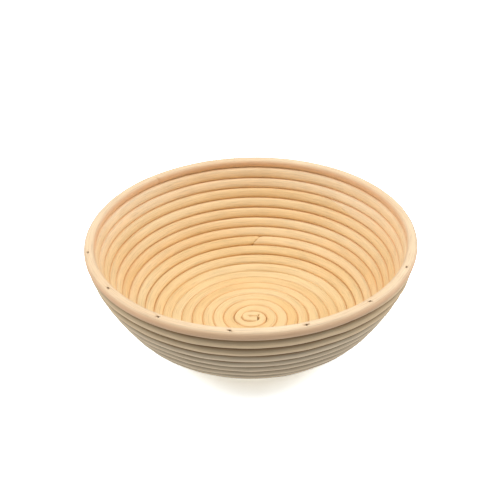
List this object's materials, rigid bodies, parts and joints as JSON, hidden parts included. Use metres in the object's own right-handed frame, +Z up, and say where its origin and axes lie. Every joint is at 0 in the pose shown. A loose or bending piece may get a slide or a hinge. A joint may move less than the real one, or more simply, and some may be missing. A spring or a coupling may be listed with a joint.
{
  "type": "banneton basket",
  "caption": "Round bread proving basket: a spiral of rattan cane makes the flat floor and flared wall, with a separate cane hoop pinned on as the rim.",
  "frame": {"origin": "under the rim's axis, on the surface the basket stands on", "axes": "+Z up, from the floor towards the rim; -Y towards the side nearest the viewer; the folded start of the cane lies along X"},
  "size_m": [0.25, 0.25, 0.087],
  "materials": {
    "coil_cane": "peeled rattan cane, bare, fine lengthwise grain, satin",
    "rim_cane": "peeled rattan cane, bare, slightly paler and smoother, satin",
    "brad_steel": "dull drawn steel wire, darkened"
  },
  "bodies": {
    "root": {"base_cane": "coil_cane", "coil_brad_01": "brad_steel", "coil_brad_02": "brad_steel", "coil_brad_03": "brad_steel", "coil_brad_04": "brad_steel", "coil_brad_05": "brad_steel", "coil_brad_06": "brad_steel", "coil_brad_07": "brad_steel", "coil_brad_08": "brad_steel", "coil_brad_09": "brad_steel", "coil_brad_10": "brad_steel", "coil_brad_11": "brad_steel", "coil_brad_12": "brad_steel", "coil_brad_13": "brad_steel", "coil_brad_14": "brad_steel", "coil_brad_15": "brad_steel", "coil_brad_16": "brad_steel", "coil_brad_17": "brad_steel", "coil_brad_18": "brad_steel", "coil_brad_19": "brad_steel", "coil_brad_20": "brad_steel", "coil_brad_21": "brad_steel", "coil_brad_22": "brad_steel", "coil_brad_23": "brad_steel", "coil_brad_24": "brad_steel", "coil_brad_25": "brad_steel", "coil_brad_26": "brad_steel", "coil_brad_27": "brad_steel", "coil_brad_28": "brad_steel", "coil_brad_29": "brad_steel", "coil_brad_30": "brad_steel", "coil_brad_31": "brad_steel", "coil_brad_32": "brad_steel", "coil_brad_33": "brad_steel", "coil_brad_34": "brad_steel", "lower_wall_cane": "coil_cane", "rim_brad_01": "brad_steel", "rim_brad_02": "brad_steel", "rim_brad_03": "brad_steel", "rim_brad_04": "brad_steel", "rim_brad_05": "brad_steel", "rim_brad_06": "brad_steel", "rim_brad_07": "brad_steel", "rim_brad_08": "brad_steel", "rim_brad_09": "brad_steel", "rim_brad_10": "brad_steel", "rim_brad_11": "brad_steel", "rim_brad_12": "brad_steel", "rim_brad_13": "brad_steel", "rim_brad_14": "brad_steel", "rim_brad_15": "brad_steel", "rim_hoop": "rim_cane", "upper_wall_cane": "coil_cane"}
  },
  "joints": []
}
